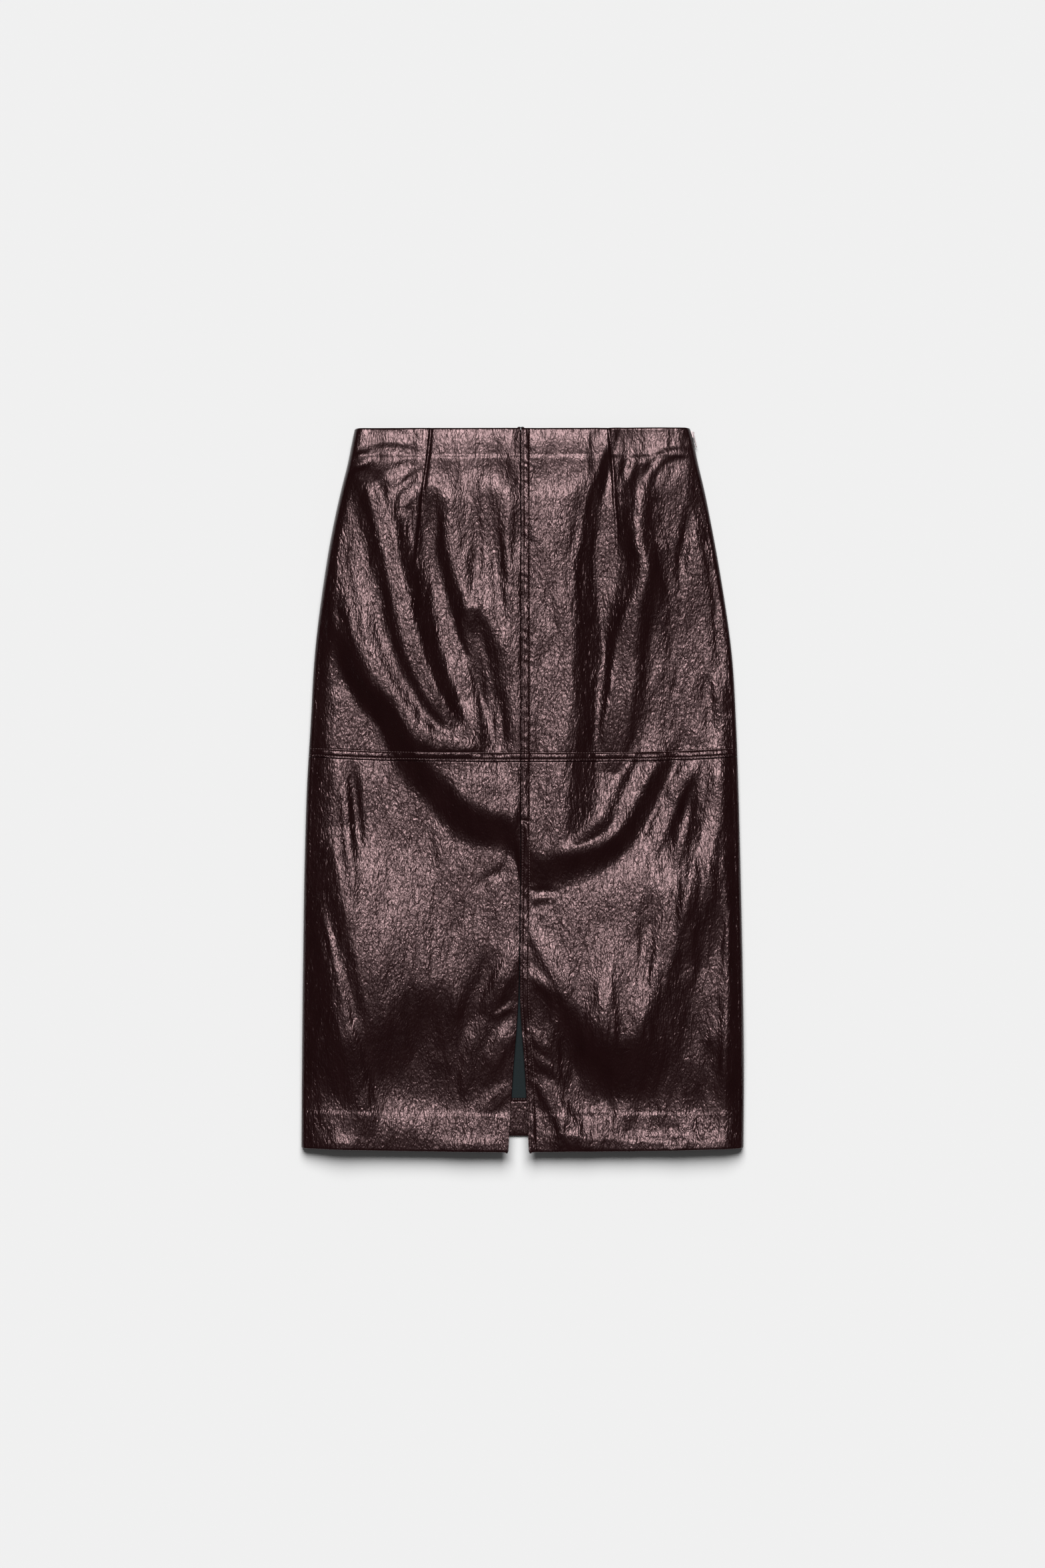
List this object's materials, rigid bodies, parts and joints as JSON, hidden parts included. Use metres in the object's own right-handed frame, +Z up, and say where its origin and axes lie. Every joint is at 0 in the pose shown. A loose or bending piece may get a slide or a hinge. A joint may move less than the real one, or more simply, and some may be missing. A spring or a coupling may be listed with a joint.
{
  "type": "faux leather midi skirt laid flat",
  "caption": "Pencil midi skirt of glossy grained faux leather laid flat front up, with yoke seam, waist darts, topstitched front seam, hem slit and concealed side zip.",
  "frame": {"origin": "middle of the skirt's outline, on the table that it lies on", "axes": "+Y from the hem to the waist, +Z up from the table through the back and then the front, +X to the right as seen from above"},
  "size_m": [0.4643, 0.7582, 0.0296],
  "materials": {
    "faux_leather": "glossy pebbled and crinkled grain, dark burgundy brown",
    "zip_metal": "satin lacquer over metal, grey brown"
  },
  "bodies": {
    "garment": {"front_upper_left": "faux_leather", "front_upper_right": "faux_leather", "front_lower_left": "faux_leather", "front_lower_right": "faux_leather", "back_upper": "faux_leather", "back_lower": "faux_leather", "zip_slider": "zip_metal"},
    "pull_tab": {"zip_pull_tab": "zip_metal"}
  },
  "joints": [
    {"name": "tab_swing", "type": "hinge", "parent": "garment", "child": "pull_tab", "pos_m": [0.17857, 0.37448, 0.0046], "axis": [0, 0, 1], "range_deg": [0, 165]}
  ]
}
